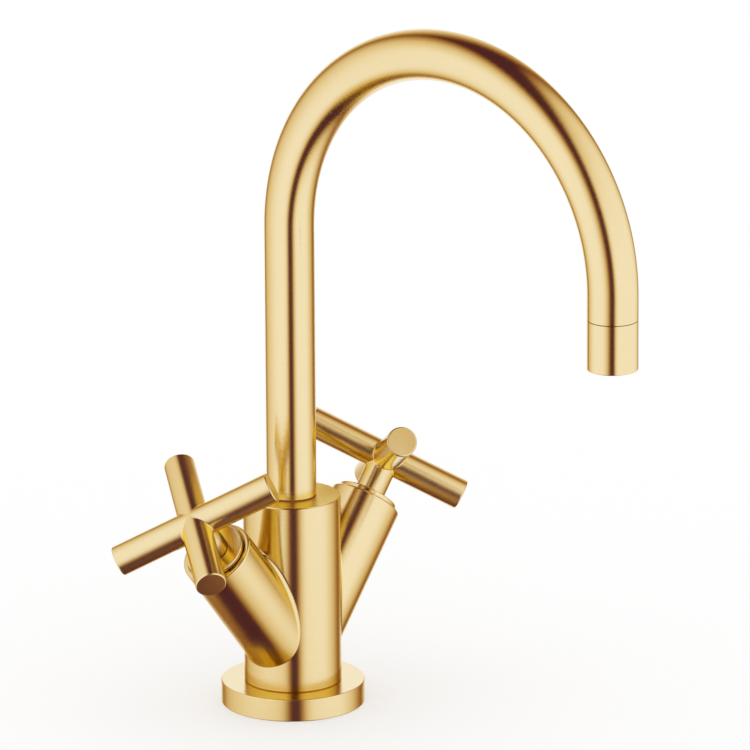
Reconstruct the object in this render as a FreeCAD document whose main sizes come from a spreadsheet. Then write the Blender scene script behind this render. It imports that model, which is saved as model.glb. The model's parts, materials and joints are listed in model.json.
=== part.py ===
"""Two-handle bathroom basin mixer with a swivelling swan-neck spout and cross handles.

The frame has +Z up, the spout points along -Y, the hot valve leans to -X and the cold valve to +X.
The origin is the centre of the underside, where the column's axis meets the deck.
"""

import FreeCAD, Part

import math
import os
import re

import Sketcher
from FreeCAD import Rotation, Vector

# Driving dimensions: alias, value in millimetres or degrees, and what it measures
SIZES = [
    ("flange_radius", 29.0, "outer radius of the base flange"),
    ("flange_height", 9.2, "height of the base flange"),
    ("flange_edge", 0.4, "chamfer of the flange's rims"),
    ("gasket_inset", 4.0, "distance of the base gasket from the flange's outside"),
    ("gasket_width", 4.0, "width of the base gasket"),
    ("gasket_thickness", 2.0, "thickness of the base gasket"),
    ("column_radius", 19.6, "outer radius of the mixer body's column"),
    ("column_top", 86.5, "height of the column's top face above the deck"),
    ("column_edge", 0.4, "chamfer of the column's rims"),
    ("neck_step", 2.8, "step from the column to its neck inside the flange"),
    ("neck_clearance", 0.2, "gap between the neck and the flange's bore"),
    ("inlet_wall", 1.85, "wall between each inlet and the neck's outside"),
    ("inlet_radius", 4.45, "radius of the tapped inlet for an M10x1 hose tail"),
    ("inlet_depth", 14.0, "length of the inlet's thread"),
    ("passage_radius", 3.4, "radius of the water passages to the valve seats"),
    ("stud_radius", 3.4, "radius of the tapped hole for an M8 fixing stud"),
    ("stud_depth", 16.0, "depth of the fixing stud's hole"),
    ("chamber_radius", 7.0, "radius of the mixing chamber"),
    ("chamber_depth", 9.0, "depth of the mixing chamber under the spout's socket"),
    ("port_drop", 4.0, "distance of the mixing ports below the socket's floor"),
    ("port_radius", 2.8, "radius of the ports from the valves to the chamber"),
    ("port_inset", 1.2, "distance of each port from its valve seat, along the barrel's bore"),
    ("tube_radius", 10.0, "outer radius of the spout's tube"),
    ("tube_wall", 1.5, "wall of the spout's tube"),
    ("tube_foot_edge", 0.3, "inset of the glide ring from the tube's outside"),
    ("swivel_gap", 0.5, "shadow gap between the column's top and the tube's foot"),
    ("arch_height", 198.5, "height of the arch's centre above the deck"),
    ("arch_radius", 82.0, "radius of the arch's centre line, half the spout's reach"),
    ("spout_drop", 9.5, "straight stretch of the tube after the arch"),
    ("aerator_length", 20.0, "length of the aerator's sleeve below the tube"),
    ("aerator_edge", 0.35, "chamfer of the sleeve's mouth"),
    ("aerator_seam", 0.22, "width of the seam between tube and sleeve"),
    ("aerator_thread", 7.0, "length of the sleeve's thread inside the tube"),
    ("aerator_wall", 2.6, "wall of the sleeve below the seam"),
    ("aerator_lip", 0.8, "width of the lip that holds the flow straightener"),
    ("lip_height", 1.6, "height of that lip above the outlet"),
    ("insert_height", 12.0, "height of the flow straightener"),
    ("insert_rim", 2.05, "distance of the outer ring of holes from the straightener's outside"),
    ("insert_web", 0.94, "web between neighbouring holes in the outer ring"),
    ("aerator_seal_height", 2.0, "height of the aerator's seal"),
    ("aerator_seal_width", 2.2, "width of the aerator's seal"),
    ("spigot_step", 1.6, "step from the tube's outside to the spigot that turns in the bush"),
    ("spigot_wall", 2.9, "wall of the spigot round its water way"),
    ("spigot_plug", 12.0, "length of the spigot's plug inside the tube"),
    ("spigot_end_gap", 0.5, "gap under the spigot's lower end"),
    ("bush_wall", 1.45, "wall of the spout's bush, which ends under the tube"),
    ("running_clearance", 0.05, "radial clearance of a turning fit"),
    ("free_gap", 0.3, "gap between pieces that turn past each other without touching"),
    ("ring_section", 0.55, "section radius of the spout's O-rings"),
    ("ring_groove", 1.15, "depth of the spigot's O-ring grooves"),
    ("ring_inset", 4.5, "distance of each O-ring from the socket's ends"),
    ("groove_share", 1.2, "half width of an O-ring's groove for each unit of its section radius"),
    ("lock_radius", 2.5, "radius of the spout's M5 lock screw"),
    ("lock_tip_radius", 2.0, "radius of the lock screw's dog point"),
    ("lock_recess", 0.8, "distance of the lock screw's end below the column's wall"),
    ("lock_slot_depth", 1.4, "depth of the stop slot in the spigot"),
    ("lock_key", 1.25, "half width of the lock screw's hexagon socket"),
    ("swivel_limit", 60.0, "swing of the spout to each side"),
    ("valve_tilt", 40.0, "lean of each valve's axis from the vertical"),
    ("barrel_rise", 9.6, "height of a barrel's lowest point above the flange"),
    ("barrel_radius", 14.5, "outer radius of a valve barrel"),
    ("barrel_reach", 72.2, "distance of the barrel's rim from the column's axis, along the valve"),
    ("barrel_edge", 0.9, "chamfer of the barrel's rim"),
    ("barrel_wall", 3.0, "wall of the barrel round its bore"),
    ("rim_width", 1.9, "width of the barrel's rim round the cap"),
    ("annulus", 1.4, "water gap between the headpart's skirt and the barrel's bore"),
    ("skirt_wall", 1.8, "wall of the headpart's skirt"),
    ("disc_clearance", 0.3, "gap between the discs and the skirt"),
    ("disc_thickness", 3.0, "thickness of each ceramic disc"),
    ("disc_port", 2.2, "radius of the two ports in each disc"),
    ("disc_rim", 1.4, "land between a disc's ports and its outside"),
    ("seal_thickness", 1.6, "thickness of the seat seal"),
    ("seal_inset", 0.4, "inset of the seat seal from the disc's outside"),
    ("seal_width", 3.3, "width of the seat seal"),
    ("lug_width", 3.0, "width of the spindle's driving lug"),
    ("lug_height", 1.0, "height of the driving lug"),
    ("foot_height", 2.4, "height of the spindle's foot"),
    ("washer_height", 0.8, "thickness of the thrust washer"),
    ("shoulder_height", 1.8, "thickness of the headpart above the thrust washer"),
    ("collar_height", 7.0, "height of the headpart's threaded collar"),
    ("hexagon_height", 5.0, "height of the headpart's hexagon"),
    ("hexagon_gap", 0.4, "gap between the hexagon's corners and the cap's skirt"),
    ("thread_clearance", 0.1, "gap between a threaded piece and its bore"),
    ("window_width", 7.0, "width of the headpart's outlet windows"),
    ("window_height", 3.6, "height of the headpart's outlet windows"),
    ("headpart_ring_section", 0.65, "section radius of the headpart's O-ring"),
    ("spindle_radius", 4.0, "radius of the spindle"),
    ("spindle_ring_section", 0.43, "section radius of the spindle's O-ring"),
    ("spindle_square", 5.6, "width of the spindle's square end"),
    ("spindle_square_length", 8.0, "length of the square end inside the handle"),
    ("clip_thickness", 0.8, "thickness of the spindle's retaining clip"),
    ("clip_width", 1.6, "width of the retaining clip outside the spindle"),
    ("clip_groove", 0.7, "depth of the clip's groove in the spindle"),
    ("clip_opening", 4.0, "width of the clip's mouth"),
    ("cap_headroom", 1.95, "room between the clip and the cap"),
    ("cap_rise", 2.2, "height of the cap above the barrel's rim"),
    ("cap_seat", 1.6, "depth of the cap's seat in the barrel's mouth"),
    ("cap_gap", 0.4, "shadow gap around the cap's flange and around the spindle"),
    ("cap_edge", 0.4, "chamfer of the cap's rim"),
    ("cap_plate", 3.0, "thickness of the cap's plate"),
    ("cap_skirt_gap", 2.4, "gap between the cap's skirt and the headpart's collar"),
    ("cap_skirt_wall", 1.2, "wall of the cap's skirt"),
    ("stem_length", 16.9, "length of the handle's stem up to the middle of the cross"),
    ("handle_turn", 45.0, "turn of the closed handle's arms from the vertical plane"),
    ("arm_radius", 6.18, "radius of the handle's arms and stem"),
    ("arm_length", 34.5, "length of each arm from the middle of the cross"),
    ("arm_edge", 0.35, "chamfer of the arms' ends"),
    ("grub_radius", 2.0, "radius of the handle's M4 grub screw"),
    ("grub_recess", 0.3, "distance of the grub screw's end below the stem's wall"),
    ("grub_key", 1.0, "half width of the grub screw's hexagon socket"),
    ("key_depth", 1.6, "depth of the screws' hexagon sockets"),
]

SHEET_NAME = "Sizes"
ALIASES = {alias for alias, _, _ in SIZES}
FULL_TURN = 360.0
UPWARD = Vector(0, 0, 1)
SIDES = (("hot", -1), ("cold", 1))

# Radii and heights of the column and the spout that several pieces share
NECK_RADIUS = "(column_radius - neck_step)"
INLET_OFFSET = f"({NECK_RADIUS} - inlet_wall - inlet_radius)"
TUBE_BORE = "(tube_radius - tube_wall)"
TUBE_FOOT = "(column_top + swivel_gap)"
SEAM = "(arch_height - spout_drop)"
OUTLET = f"({SEAM} - aerator_length)"
SPOUT_REACH = "(2 * arch_radius)"
SPIGOT_RADIUS = "(tube_radius - spigot_step)"
BUSH_BORE = f"({SPIGOT_RADIUS} + running_clearance)"
SOCKET_RADIUS = f"({BUSH_BORE} + bush_wall)"
SLOT_FLOOR = f"({SPIGOT_RADIUS} - lock_slot_depth)"

# Radii of the valve's pieces, from the barrel inwards
VALVE_CROSSING = (
    "(flange_height + barrel_rise + barrel_radius / sin(valve_tilt) - column_radius / tan(valve_tilt))"
)
BARREL_BORE = "(barrel_radius - barrel_wall)"
THREAD_RADIUS = f"({BARREL_BORE} - thread_clearance)"
SKIRT_OUTER = f"({BARREL_BORE} - annulus)"
SKIRT_INNER = f"({SKIRT_OUTER} - skirt_wall)"
DISC_RADIUS = f"({SKIRT_INNER} - disc_clearance)"
CAP_RADIUS = "(barrel_radius - rim_width - cap_gap)"
CAP_SKIRT_INNER = f"({THREAD_RADIUS} - cap_skirt_wall)"

# Distances along a valve's axis, from the cap downwards to the seat
CAP_TOP = "(barrel_reach + cap_rise)"
CAP_FLANGE = "(barrel_reach - cap_seat)"
CAP_UNDERSIDE = f"({CAP_TOP} - cap_plate)"
CLIP = f"({CAP_UNDERSIDE} - cap_headroom - clip_thickness)"
HEADPART_TOP = f"({CLIP} - running_clearance)"
HEXAGON = f"({HEADPART_TOP} - hexagon_height)"
COLLAR = f"({HEXAGON} - collar_height)"
SHOULDER = f"({COLLAR} - shoulder_height)"
WASHER = f"({SHOULDER} - washer_height)"
FOOT = f"({WASHER} - foot_height)"
TURNING_DISC = f"({FOOT} - disc_thickness)"
FIXED_DISC = f"({TURNING_DISC} - disc_thickness)"
SEAT = f"({FIXED_DISC} - seal_thickness)"

# Distances along a valve's axis, from the cap upwards to the handle
STEM_FOOT = f"({CAP_TOP} + free_gap)"
CROSS_MIDDLE = f"({STEM_FOOT} + stem_length)"

# The mixing ports meet the barrels' bores beside the seats, and the spout's socket ends above them
PORT_HEIGHT = (
    f"({VALVE_CROSSING} + ({SEAT} + port_inset) * cos(valve_tilt) + {BARREL_BORE} * sin(valve_tilt))"
)
PORT_END = f"(({SEAT} + port_inset) * sin(valve_tilt) - {SKIRT_OUTER} * cos(valve_tilt))"
SOCKET_FLOOR = f"({PORT_HEIGHT} + port_drop)"
LOCK_HEIGHT = f"(({SOCKET_FLOOR} + column_top) / 2)"

doc = FreeCAD.newDocument("basin_mixer")
sheet = doc.addObject("Spreadsheet::Sheet", SHEET_NAME)
for row, (alias, value, note) in enumerate(SIZES, start=1):
    sheet.set(f"A{row}", alias)
    sheet.set(f"B{row}", str(value))
    sheet.set(f"C{row}", note)
    sheet.setAlias(f"B{row}", alias)
doc.recompute()

pieces = {}


def bound(formula):
    """The formula with each size's name pointing at its cell."""
    return re.sub(r"[a-z_]+", lambda m: f"{SHEET_NAME}.{m[0]}" if m[0] in ALIASES else m[0], formula)


def number(formula):
    """The formula's present value."""
    return float(sheet.evalExpression(bound(formula)))


def drive(item, **formulas):
    """Binds an object's properties to formulas of the sizes. Two underscores stand for a dot."""
    for name, formula in formulas.items():
        item.setExpression(name.replace("__", "."), bound(formula))
    return item


def at(item, x="0", y="0", z="0"):
    """Places a piece by formulas of its position."""
    return drive(item, Placement__Base__x=x, Placement__Base__y=y, Placement__Base__z=z)


def turn(item, axis, angle):
    """Turns a piece about an axis through its own origin. The angle is a formula."""
    item.Placement = FreeCAD.Placement(item.Placement.Base, Rotation(axis, number(angle)))
    return drive(item, Placement__Rotation__Angle=angle)


def rearward(item):
    """Lays a piece that is modelled along Z towards the rear, +Y."""
    return turn(item, Vector(-1, 0, 0), "90")


def lean(item, sign):
    """Stands a valve piece, modelled along Z, on its side's leaning axis."""
    at(item, z=VALVE_CROSSING)
    return turn(item, Vector(0, sign, 0), "valve_tilt")


def keep(label, item):
    """Names a finished piece of the assembly."""
    item.Label = label
    pieces[label] = item
    return item


def sketch_in(body, plane, name):
    """An empty sketch on one of the body's own origin planes."""
    sketch = body.newObject("Sketcher::SketchObject", name)
    support = next(f for f in body.Origin.OriginFeatures if f.Role == plane)
    sketch.AttachmentSupport = [(support, "")]
    sketch.MapMode = "FlatFace"
    return sketch


def measure(sketch, kind, *where, formula):
    """A dimension in a sketch, bound to a formula."""
    index = sketch.addConstraint(Sketcher.Constraint(kind, *where, number(formula)))
    sketch.setExpression(f"Constraints[{index}]", bound(formula))


def outline(sketch, points):
    """A closed outline of straight edges through points given as pairs of formulas."""
    places = [Vector(number(across), number(along), 0) for across, along in points]
    count = len(points)
    for i in range(count):
        sketch.addGeometry(Part.LineSegment(places[i], places[(i + 1) % count]))
    for i in range(count):
        sketch.addConstraint(Sketcher.Constraint("Coincident", i, 2, (i + 1) % count, 1))
    for i, (across, along) in enumerate(points):
        for kind, formula, axis in (("DistanceX", across, -2), ("DistanceY", along, -1)):
            if formula == "0":
                sketch.addConstraint(Sketcher.Constraint("PointOnObject", i, 1, axis))
            else:
                measure(sketch, kind, -1, 1, i, 1, formula=formula)


def turned(label, points, axis="V_Axis"):
    """A piece turned on a lathe: an outline of (radius, height) pairs revolved about its axis."""
    body = doc.addObject("PartDesign::Body", label)
    sketch = sketch_in(body, "XZ_Plane", label + "_section")
    outline(sketch, points)
    revolution = body.newObject("PartDesign::Revolution", label + "_turning")
    revolution.Profile = sketch
    revolution.ReferenceAxis = (sketch, [axis])
    revolution.Angle = FULL_TURN
    return body


def ring(label, inner, outer, low, high):
    """A turned ring of rectangular section."""
    return turned(label, [(inner, low), (outer, low), (outer, high), (inner, high)])


def rod(label, radius, length):
    """A cylinder from its own origin along its own Z."""
    return drive(doc.addObject("Part::Cylinder", label), Radius=radius, Height=length)


def block(label, length, width, height, floor):
    """A box centred on its own Z, standing at a height."""
    box = drive(doc.addObject("Part::Box", label), Length=length, Width=width, Height=height)
    return at(box, f"-({length}) / 2", f"-({width}) / 2", floor)


def hexagon(label, corner_radius, height, floor):
    """A hexagonal prism along its own Z, standing at a height."""
    prism = doc.addObject("Part::Prism", label)
    prism.Polygon = 6
    return at(drive(prism, Circumradius=corner_radius, Height=height), z=floor)


def o_ring(label, radius, section, height):
    """A rubber ring of round section about Z, at a height."""
    torus = doc.addObject("Part::Torus", label)
    return at(drive(torus, Radius1=radius, Radius2=section), z=height)


def joined(label, items):
    """One solid made of several."""
    union = doc.addObject("Part::MultiFuse", label)
    union.Shapes = items
    union.Refine = True
    return union


def cut(label, base, tools):
    """The base with the tools taken away."""
    result = doc.addObject("Part::Cut", label)
    result.Base = base
    result.Tool = tools[0] if len(tools) == 1 else joined(label + "_tools", tools)
    return result


def group(label, items):
    """Separate solids kept in one piece, which has a placement of its own."""
    holder = doc.addObject("Part::Compound", label)
    holder.Links = items
    return holder


# The base flange covers the deck hole. A groove in its underside holds the rubber gasket.
def base():
    bore = f"{NECK_RADIUS} + neck_clearance"
    gasket_outer = "flange_radius - gasket_inset"
    gasket_inner = f"{gasket_outer} - gasket_width"
    flange = turned("flange", [
        (bore, "0"),
        (gasket_inner, "0"),
        (gasket_inner, "gasket_thickness"),
        (gasket_outer, "gasket_thickness"),
        (gasket_outer, "0"),
        ("flange_radius - flange_edge", "0"),
        ("flange_radius", "flange_edge"),
        ("flange_radius", "flange_height - flange_edge"),
        ("flange_radius - flange_edge", "flange_height"),
        (bore, "flange_height"),
    ])
    keep("base_flange", flange)
    keep("base_gasket", ring("gasket", gasket_inner, gasket_outer, "0", "gasket_thickness"))


def seat_drill(label, sign):
    """The water way along a valve's axis, from above its inlet to its seat."""
    start = f"({INLET_OFFSET} / sin(valve_tilt))"
    drill = rod(label, "passage_radius", f"{SEAT} - {start}")
    at(drill, f"{sign} * {INLET_OFFSET}", "0", f"{VALVE_CROSSING} + {start} * cos(valve_tilt)")
    return turn(drill, Vector(0, sign, 0), "valve_tilt")


def port_drill(label, sign):
    """The port from the mixing chamber to a valve's bore."""
    drill = at(rod(label, "port_radius", PORT_END), z=PORT_HEIGHT)
    return turn(drill, Vector(0, sign, 0), "90")


# The column is one brass turning, drilled for the inlets, the stud, the valves and the spout.
def mixer_body():
    chamber_floor = f"{SOCKET_FLOOR} - chamber_depth"
    column = turned("column", [
        ("0", "0"),
        (NECK_RADIUS, "0"),
        (NECK_RADIUS, "flange_height"),
        ("column_radius - column_edge", "flange_height"),
        ("column_radius", "flange_height + column_edge"),
        ("column_radius", "column_top - column_edge"),
        ("column_radius - column_edge", "column_top"),
        (SOCKET_RADIUS, "column_top"),
        (SOCKET_RADIUS, SOCKET_FLOOR),
        ("chamber_radius", SOCKET_FLOOR),
        ("chamber_radius", chamber_floor),
        ("0", chamber_floor),
    ])
    tools = [rod("stud_tap", "stud_radius", "stud_depth")]
    tools.append(rearward(at(rod("lock_tap", "lock_radius", "column_radius"), z=LOCK_HEIGHT)))
    for side, sign in SIDES:
        inlet = rod(f"{side}_inlet_tap", "inlet_radius", "inlet_depth")
        riser_top = f"{VALVE_CROSSING} + {INLET_OFFSET} / tan(valve_tilt)"
        riser = rod(f"{side}_riser_drill", "passage_radius", riser_top)
        tools += [at(drill, x=f"{sign} * {INLET_OFFSET}") for drill in (inlet, riser)]
        bore = rod(f"{side}_valve_bore", BARREL_BORE, f"barrel_reach - {SEAT}")
        pocket = lean(group(f"{side}_valve_pocket", [at(bore, z=SEAT)]), sign)
        tools += [pocket, seat_drill(f"{side}_seat_drill", sign), port_drill(f"{side}_port_drill", sign)]
    keep("mixer_body", cut("drilled_column", column, tools))


# Each valve barrel is a turned sleeve whose lower end is coped to the column and brazed on.
def valve_barrel(side, sign):
    mouth = "barrel_radius - rim_width"
    blank = turned(f"{side}_barrel_blank", [
        ("0", "0"),
        ("barrel_radius", "0"),
        ("barrel_radius", "barrel_reach - barrel_edge"),
        ("barrel_radius - barrel_edge", "barrel_reach"),
        (mouth, "barrel_reach"),
        (mouth, CAP_FLANGE),
        (BARREL_BORE, CAP_FLANGE),
        (BARREL_BORE, SEAT),
        ("0", SEAT),
    ])
    coping = rod(f"{side}_coping", "column_radius", "column_top")
    drills = [seat_drill(f"{side}_barrel_drill", sign), port_drill(f"{side}_barrel_port", sign)]
    keep(f"{side}_barrel", cut(f"{side}_coped_barrel", lean(blank, sign), [coping] + drills))


def disc_drills(label, floor, along_x):
    """Two drills through a ceramic disc, on opposite sides of its middle."""
    drills = []
    for end in (-1, 1):
        drill = rod(f"{label}_{'far' if end > 0 else 'near'}", "disc_port", "disc_thickness")
        offset = f"{end} * ({DISC_RADIUS} - disc_rim - disc_port)"
        drills.append(at(drill, offset, "0", floor) if along_x else at(drill, "0", offset, floor))
    return drills


# Two lapped ceramic discs on a rubber seal open the valve in a quarter turn.
def valve_discs(side, sign):
    seal_outer = f"{DISC_RADIUS} - seal_inset"
    seal = ring(f"{side}_seal", f"{seal_outer} - seal_width", seal_outer, SEAT, FIXED_DISC)
    keep(f"{side}_seat_seal", lean(seal, sign))

    lower = at(rod(f"{side}_lower_disc", DISC_RADIUS, "disc_thickness"), z=FIXED_DISC)
    drills = disc_drills(f"{side}_lower_port", FIXED_DISC, along_x=False)
    keep(f"{side}_fixed_disc", lean(cut(f"{side}_lower_drilled", lower, drills), sign))

    upper = at(rod(f"{side}_upper_disc", DISC_RADIUS, "disc_thickness"), z=TURNING_DISC)
    slot = block(f"{side}_lug_slot", f"3 * {DISC_RADIUS}", "lug_width + 2 * running_clearance",
                 "2 * lug_height", f"{FOOT} - lug_height - running_clearance")
    drills = disc_drills(f"{side}_upper_port", TURNING_DISC, along_x=True)
    keep(f"{side}_turning_disc", lean(cut(f"{side}_upper_slotted", upper, drills + [slot]), sign))


# The spindle drives the upper disc with its lug and carries the handle on its square end.
def valve_spindle(side, sign):
    foot_radius = f"{DISC_RADIUS} - disc_clearance"
    ring_middle = f"({COLLAR} + collar_height / 2)"
    ring_floor = "spindle_radius - 2 * spindle_ring_section"
    ring_half = "groove_share * spindle_ring_section"
    clip_floor = "spindle_radius - clip_groove"
    clip_top = f"{CLIP} + clip_thickness"
    shaft = turned(f"{side}_spindle_shaft", [
        ("0", FOOT),
        (foot_radius, FOOT),
        (foot_radius, WASHER),
        ("spindle_radius", WASHER),
        ("spindle_radius", f"{ring_middle} - {ring_half}"),
        (ring_floor, f"{ring_middle} - {ring_half}"),
        (ring_floor, f"{ring_middle} + {ring_half}"),
        ("spindle_radius", f"{ring_middle} + {ring_half}"),
        ("spindle_radius", CLIP),
        (clip_floor, CLIP),
        (clip_floor, clip_top),
        ("spindle_radius", clip_top),
        ("spindle_radius", STEM_FOOT),
        ("0", STEM_FOOT),
    ])
    square = block(f"{side}_square", "spindle_square", "spindle_square", "spindle_square_length", STEM_FOOT)
    lug = block(f"{side}_lug", foot_radius, "lug_width", "lug_height", f"{FOOT} - lug_height")
    keep(f"{side}_spindle", lean(joined(f"{side}_spindle_solid", [shaft, square, lug]), sign))

    seal = o_ring(f"{side}_spindle_torus", f"{ring_floor} + spindle_ring_section", "spindle_ring_section",
                  ring_middle)
    keep(f"{side}_spindle_o_ring", lean(group(f"{side}_spindle_seal", [seal]), sign))

    washer = ring(f"{side}_washer", "spindle_radius + running_clearance", foot_radius, WASHER, SHOULDER)
    keep(f"{side}_thrust_washer", lean(washer, sign))

    clip = ring(f"{side}_clip", clip_floor, "spindle_radius + clip_width", CLIP, clip_top)
    mouth = block(f"{side}_clip_mouth", "clip_opening", "spindle_radius + clip_width", "3 * clip_thickness",
                  f"{CLIP} - clip_thickness")
    drive(mouth, Placement__Base__y="0")
    keep(f"{side}_spindle_clip", lean(cut(f"{side}_open_clip", clip, [mouth]), sign))


# The headpart screws into the barrel and holds the discs and the spindle.
def valve_headpart(side, sign):
    bore = "spindle_radius + running_clearance"
    sleeve = turned(f"{side}_sleeve", [
        (SKIRT_INNER, FIXED_DISC),
        (SKIRT_OUTER, FIXED_DISC),
        (SKIRT_OUTER, COLLAR),
        (THREAD_RADIUS, COLLAR),
        (THREAD_RADIUS, HEXAGON),
        (bore, HEXAGON),
        (bore, SHOULDER),
        (SKIRT_INNER, SHOULDER),
    ])
    nut = hexagon(f"{side}_nut", f"{CAP_SKIRT_INNER} - hexagon_gap", "hexagon_height", HEXAGON)
    hole = at(rod(f"{side}_nut_bore", bore, "hexagon_height"), z=HEXAGON)
    solid = joined(f"{side}_headpart_solid", [sleeve, cut(f"{side}_drilled_nut", nut, [hole])])
    windows = block(f"{side}_windows", f"3 * {SKIRT_OUTER}", "window_width", "window_height",
                    f"{FOOT} - window_height")
    keep(f"{side}_headpart", lean(cut(f"{side}_windowed_headpart", solid, [windows]), sign))

    seal = o_ring(f"{side}_headpart_torus", f"{SKIRT_OUTER} + headpart_ring_section", "headpart_ring_section",
                  f"{COLLAR} - headpart_ring_section")
    keep(f"{side}_headpart_o_ring", lean(group(f"{side}_headpart_seal", [seal]), sign))


# The bonnet cap closes the barrel's mouth. A shadow gap runs round its flange.
def bonnet_cap(side, sign):
    hole = "spindle_radius + cap_gap"
    skirt_end = f"{HEXAGON} + cap_skirt_gap"
    cap = turned(f"{side}_cap", [
        (hole, CAP_UNDERSIDE),
        (CAP_SKIRT_INNER, CAP_UNDERSIDE),
        (CAP_SKIRT_INNER, skirt_end),
        (THREAD_RADIUS, skirt_end),
        (THREAD_RADIUS, CAP_FLANGE),
        (CAP_RADIUS, CAP_FLANGE),
        (CAP_RADIUS, f"{CAP_TOP} - cap_edge"),
        (f"{CAP_RADIUS} - cap_edge", CAP_TOP),
        (hole, CAP_TOP),
    ])
    keep(f"{side}_bonnet_cap", lean(cap, sign))


def arm_bar(label):
    """A bar of the cross: two arms in line, turned about its own X from one end."""
    return turned(label, [
        ("0", "0"),
        ("0", "arm_radius - arm_edge"),
        ("arm_edge", "arm_radius"),
        ("2 * arm_length - arm_edge", "arm_radius"),
        ("2 * arm_length", "arm_radius - arm_edge"),
        ("2 * arm_length", "0"),
    ], axis="H_Axis")


# The handle is a brazed cross of two bars on a stem, clamped to the spindle by a grub screw.
def cross_handle(side, sign):
    first_bar = at(arm_bar(f"{side}_first_bar"), "-arm_length", "0", CROSS_MIDDLE)
    second_bar = at(arm_bar(f"{side}_second_bar"), "0", "-arm_length", CROSS_MIDDLE)
    turn(second_bar, UPWARD, "90")
    stem = at(rod(f"{side}_stem", "arm_radius", "stem_length"), z=STEM_FOOT)
    cross = turn(joined(f"{side}_cross", [stem, first_bar, second_bar]), UPWARD, "handle_turn")

    width = "spindle_square + 2 * running_clearance"
    socket = block(f"{side}_square_socket", width, width, "spindle_square_length + free_gap", STEM_FOOT)
    grub_height = f"({STEM_FOOT} + spindle_square_length / 2)"
    tap = rearward(at(rod(f"{side}_grub_tap", "grub_radius", "arm_radius"), z=grub_height))
    keep(f"{side}_handle", lean(cut(f"{side}_tapped_cross", cross, [socket, tap]), sign))

    point = "(spindle_square / 2)"
    length = f"(arm_radius - grub_recess - {point})"
    key = hexagon(f"{side}_grub_key", "grub_key / cos(30)", "key_depth", f"{length} - key_depth")
    screw = cut(f"{side}_grub", rod(f"{side}_grub_rod", "grub_radius", length), [key])
    rearward(at(screw, "0", point, grub_height))
    keep(f"{side}_grub_screw", lean(group(f"{side}_seated_grub", [screw]), sign))


# The spout is a bent tube. Its foot stands clear of the column on a glide ring.
def spout_tube():
    body = doc.addObject("PartDesign::Body", "swan_neck")
    path = sketch_in(body, "YZ_Plane", "swan_neck_path")
    foot, springing, seam = (number(height) for height in (TUBE_FOOT, "arch_height", SEAM))
    reach, radius = number(SPOUT_REACH), number("arch_radius")
    path.addGeometry(Part.LineSegment(Vector(0, foot, 0), Vector(0, springing, 0)))
    path.addGeometry(Part.ArcOfCircle(Part.Circle(Vector(-radius, springing, 0), UPWARD, radius), 0, math.pi))
    path.addGeometry(Part.LineSegment(Vector(-reach, springing, 0), Vector(-reach, seam, 0)))
    path.addConstraint(Sketcher.Constraint("PointOnObject", 0, 1, -2))
    path.addConstraint(Sketcher.Constraint("Vertical", 0))
    path.addConstraint(Sketcher.Constraint("Tangent", 0, 2, 1, 1))
    path.addConstraint(Sketcher.Constraint("Tangent", 1, 2, 2, 1))
    path.addConstraint(Sketcher.Constraint("Vertical", 2))
    measure(path, "Radius", 1, formula="arch_radius")
    measure(path, "DistanceY", -1, 1, 0, 1, formula=TUBE_FOOT)
    measure(path, "DistanceY", -1, 1, 0, 2, formula="arch_height")
    measure(path, "DistanceY", -1, 1, 2, 2, formula=SEAM)

    section = sketch_in(body, "XY_Plane", "swan_neck_section")
    drive(section, AttachmentOffset__Base__z=TUBE_FOOT)
    for edge, formula in enumerate(("tube_radius", TUBE_BORE)):
        section.addGeometry(Part.Circle(Vector(0, 0, 0), UPWARD, number(formula)))
        section.addConstraint(Sketcher.Constraint("Coincident", edge, 3, -1, 1))
        measure(section, "Radius", edge, formula=formula)
    pipe = body.newObject("PartDesign::AdditivePipe", "swan_neck_pipe")
    pipe.Profile = section
    pipe.Spine = (path, ["Edge1", "Edge2", "Edge3"])
    keep("spout_tube", body)


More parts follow.
